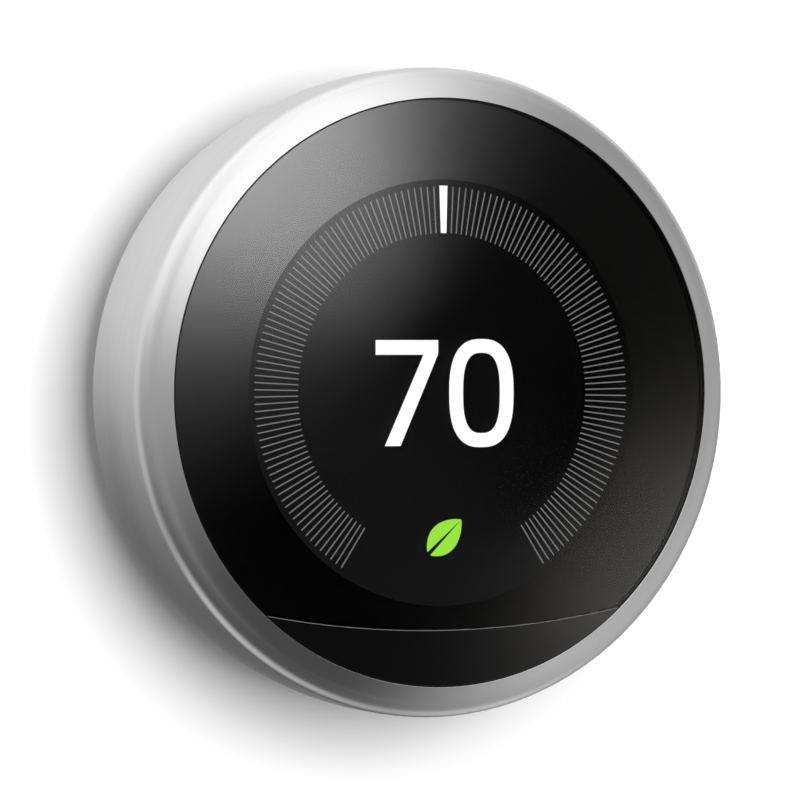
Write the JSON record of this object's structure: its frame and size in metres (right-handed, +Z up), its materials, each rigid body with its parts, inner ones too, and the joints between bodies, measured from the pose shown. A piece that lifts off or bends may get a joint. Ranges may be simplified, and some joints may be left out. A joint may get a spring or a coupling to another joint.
{
  "type": "round wall thermostat",
  "caption": "Round wall thermostat: turning steel dial ring round a domed black glass display, press-in display head that pulls off a wired wall base.",
  "frame": {"origin": "on the wall plane, on the dial axis: the centre of the base plate's back face", "axes": "+Z up, -Y out of the wall towards the room along the dial axis, +X to the right seen from the room"},
  "size_m": [0.084, 0.0308, 0.084],
  "materials": {
    "brushed_ring": "fine circumferential brushing",
    "front_glass": "domed, gloss black",
    "sensor_window_black": "gloss black, infrared-clear",
    "black_plastic": "fine moulded texture",
    "release_tab_black": "satin",
    "white_plastic": "fine moulded texture",
    "display_black": "smooth",
    "tin_plate": "bright pressed sheet",
    "screw_steel": "plated",
    "board_green": "solder resist over glass fibre",
    "contact_gold": "plated spring strip",
    "flex_amber": "polyimide film",
    "cell_wrap": "shrink wrap",
    "slippery_plastic": "low-friction film",
    "encoder_film": "striped film",
    "lens_plastic": "moulded lens rings",
    "level_glass": "tinted spirit vial"
  },
  "bodies": {
    "wall_base": {"base_plate": "white_plastic", "base_cover": "white_plastic", "base_circuit_board": "board_green", "base_socket": "black_plastic", "bubble_level_vial": "level_glass", "wire_contact_right_1": "contact_gold", "wire_contact_right_2": "contact_gold", "wire_contact_right_3": "contact_gold", "wire_contact_right_4": "contact_gold", "wire_contact_right_5": "contact_gold", "wire_contact_left_1": "contact_gold", "wire_contact_left_2": "contact_gold", "wire_contact_left_3": "contact_gold", "wire_contact_left_4": "contact_gold", "wire_contact_left_5": "contact_gold"},
    "head_rear": {"head_rear_cover": "black_plastic", "rear_circuit_board": "board_green", "head_plug": "black_plastic", "usb_socket": "tin_plate", "click_switch": "black_plastic", "guide_screw_1": "screw_steel", "guide_screw_2": "screw_steel", "guide_screw_3": "screw_steel", "return_spring_1": "screw_steel", "return_spring_2": "screw_steel", "return_spring_3": "screw_steel"},
    "click_plunger": {"click_switch_plunger": "white_plastic"},
    "head_front": {"display_glass": "front_glass", "sensor_window": "sensor_window_black", "front_frame": "black_plastic", "display_panel": "display_black", "display_tray": "tin_plate", "display_ribbon": "flex_amber", "main_circuit_board": "board_green", "processor_shield": "tin_plate", "radio_shield": "tin_plate", "sensor_board": "board_green", "motion_sensor": "tin_plate", "fresnel_lens": "lens_plastic", "optical_ring_sensor": "black_plastic", "battery": "cell_wrap", "ring_retainer": "tin_plate", "bearing_ring_front": "slippery_plastic", "bearing_ring_rear": "slippery_plastic", "retainer_screw_1": "screw_steel", "retainer_screw_2": "screw_steel", "retainer_screw_3": "screw_steel"},
    "dial": {"dial_ring": "brushed_ring", "ring_carrier": "black_plastic", "encoder_band": "encoder_film"},
    "release_tab_right_1_body": {"release_tab_right_1": "release_tab_black"},
    "release_tab_right_2_body": {"release_tab_right_2": "release_tab_black"},
    "release_tab_right_3_body": {"release_tab_right_3": "release_tab_black"},
    "release_tab_right_4_body": {"release_tab_right_4": "release_tab_black"},
    "release_tab_right_5_body": {"release_tab_right_5": "release_tab_black"},
    "release_tab_left_1_body": {"release_tab_left_1": "release_tab_black"},
    "release_tab_left_2_body": {"release_tab_left_2": "release_tab_black"},
    "release_tab_left_3_body": {"release_tab_left_3": "release_tab_black"},
    "release_tab_left_4_body": {"release_tab_left_4": "release_tab_black"},
    "release_tab_left_5_body": {"release_tab_left_5": "release_tab_black"}
  },
  "joints": [
    {"name": "head_pull_off", "type": "slide", "parent": "wall_base", "child": "head_rear", "axis": [0, -1, 0], "range_m": [0, 0.045]},
    {"name": "head_press", "type": "slide", "parent": "head_rear", "child": "head_front", "axis": [0, 1, 0], "range_m": [0, 0.0008], "stiffness_N_per_m": 2500, "springref_m": -0.0012, "deforming": ["return_spring_1", "return_spring_2", "return_spring_3"]},
    {"name": "click_plunger_travel", "type": "slide", "parent": "head_rear", "child": "click_plunger", "axis": [0, 1, 0], "range_m": [0, 0.00055]},
    {"name": "dial_spin", "type": "hinge", "parent": "head_front", "child": "dial", "pos_m": [0, 0, 0], "axis": [0, -1, 0], "continuous": true},
    {"name": "release_tab_right_1_push", "type": "slide", "parent": "wall_base", "child": "release_tab_right_1_body", "axis": [0, 1, 0], "range_m": [0, 0.0015], "stiffness_N_per_m": 600, "springref_m": -0.001},
    {"name": "release_tab_right_2_push", "type": "slide", "parent": "wall_base", "child": "release_tab_right_2_body", "axis": [0, 1, 0], "range_m": [0, 0.0015], "stiffness_N_per_m": 600, "springref_m": -0.001},
    {"name": "release_tab_right_3_push", "type": "slide", "parent": "wall_base", "child": "release_tab_right_3_body", "axis": [0, 1, 0], "range_m": [0, 0.0015], "stiffness_N_per_m": 600, "springref_m": -0.001},
    {"name": "release_tab_right_4_push", "type": "slide", "parent": "wall_base", "child": "release_tab_right_4_body", "axis": [0, 1, 0], "range_m": [0, 0.0015], "stiffness_N_per_m": 600, "springref_m": -0.001},
    {"name": "release_tab_right_5_push", "type": "slide", "parent": "wall_base", "child": "release_tab_right_5_body", "axis": [0, 1, 0], "range_m": [0, 0.0015], "stiffness_N_per_m": 600, "springref_m": -0.001},
    {"name": "release_tab_left_1_push", "type": "slide", "parent": "wall_base", "child": "release_tab_left_1_body", "axis": [0, 1, 0], "range_m": [0, 0.0015], "stiffness_N_per_m": 600, "springref_m": -0.001},
    {"name": "release_tab_left_2_push", "type": "slide", "parent": "wall_base", "child": "release_tab_left_2_body", "axis": [0, 1, 0], "range_m": [0, 0.0015], "stiffness_N_per_m": 600, "springref_m": -0.001},
    {"name": "release_tab_left_3_push", "type": "slide", "parent": "wall_base", "child": "release_tab_left_3_body", "axis": [0, 1, 0], "range_m": [0, 0.0015], "stiffness_N_per_m": 600, "springref_m": -0.001},
    {"name": "release_tab_left_4_push", "type": "slide", "parent": "wall_base", "child": "release_tab_left_4_body", "axis": [0, 1, 0], "range_m": [0, 0.0015], "stiffness_N_per_m": 600, "springref_m": -0.001},
    {"name": "release_tab_left_5_push", "type": "slide", "parent": "wall_base", "child": "release_tab_left_5_body", "axis": [0, 1, 0], "range_m": [0, 0.0015], "stiffness_N_per_m": 600, "springref_m": -0.001}
  ],
  "couplings": [
    {"joint": "click_plunger_travel", "follows": "head_press", "ratio": 0.65}
  ]
}
